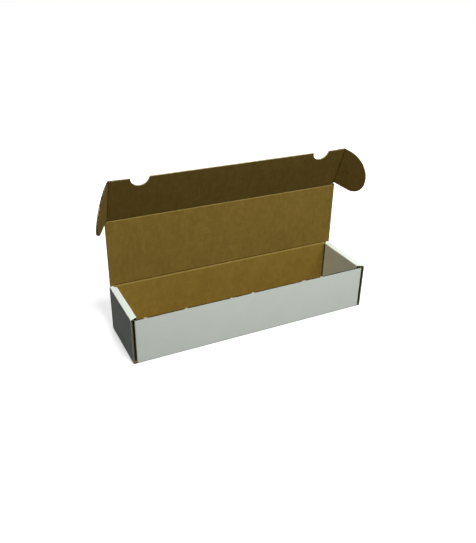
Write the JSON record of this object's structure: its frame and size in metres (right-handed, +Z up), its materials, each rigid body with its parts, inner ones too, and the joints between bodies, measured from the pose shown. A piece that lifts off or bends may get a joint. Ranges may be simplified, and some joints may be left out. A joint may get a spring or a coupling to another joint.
{
  "type": "card storage box",
  "caption": "Long corrugated cardboard box that holds cards on edge, with a hinged lid whose front flap and ears tuck over and into the front.",
  "frame": {"origin": "middle of the base's underside, under the centre of the tray", "axes": "+X along the box to the right, -Y towards the front wall, +Z up"},
  "size_m": [0.4544, 0.108, 0.2571],
  "materials": {
    "white_board": "matt white paper liner",
    "kraft_board": "matt brown kraft liner"
  },
  "bodies": {
    "tray": {"bottom_panel": "kraft_board", "front_wall": "white_board", "back_wall": "white_board", "left_outer_end_wall": "white_board", "right_outer_end_wall": "white_board", "left_top_strip": "white_board", "right_top_strip": "white_board", "left_inner_end_wall": "white_board", "right_inner_end_wall": "white_board", "front_left_corner_flap": "kraft_board", "front_right_corner_flap": "kraft_board", "back_left_corner_flap": "kraft_board", "back_right_corner_flap": "kraft_board"},
    "lid": {"lid_panel": "kraft_board"},
    "front_flap": {"lid_front_flap": "kraft_board"},
    "left_ear": {"left_ear": "kraft_board"},
    "right_ear": {"right_ear": "kraft_board"}
  },
  "joints": [
    {"name": "lid_hinge", "type": "hinge", "parent": "tray", "child": "lid", "pos_m": [0, 0.05273, 0.0782], "axis": [1, 0, 0], "range_deg": [-90, 90]},
    {"name": "front_flap_fold", "type": "hinge", "parent": "lid", "child": "front_flap", "pos_m": [0, 0.05273, 0.18645], "axis": [1, 0, 0], "range_deg": [-21, 69]},
    {"name": "left_ear_fold", "type": "hinge", "parent": "front_flap", "child": "left_ear", "pos_m": [-0.1992, 0.05273, 0.18645], "axis": [0, -0.3584, 0.9336], "range_deg": [-58.5, 31.5]},
    {"name": "right_ear_fold", "type": "hinge", "parent": "front_flap", "child": "right_ear", "pos_m": [0.1992, 0.05273, 0.18645], "axis": [0, 0.3584, -0.9336], "range_deg": [-58.5, 31.5]}
  ]
}
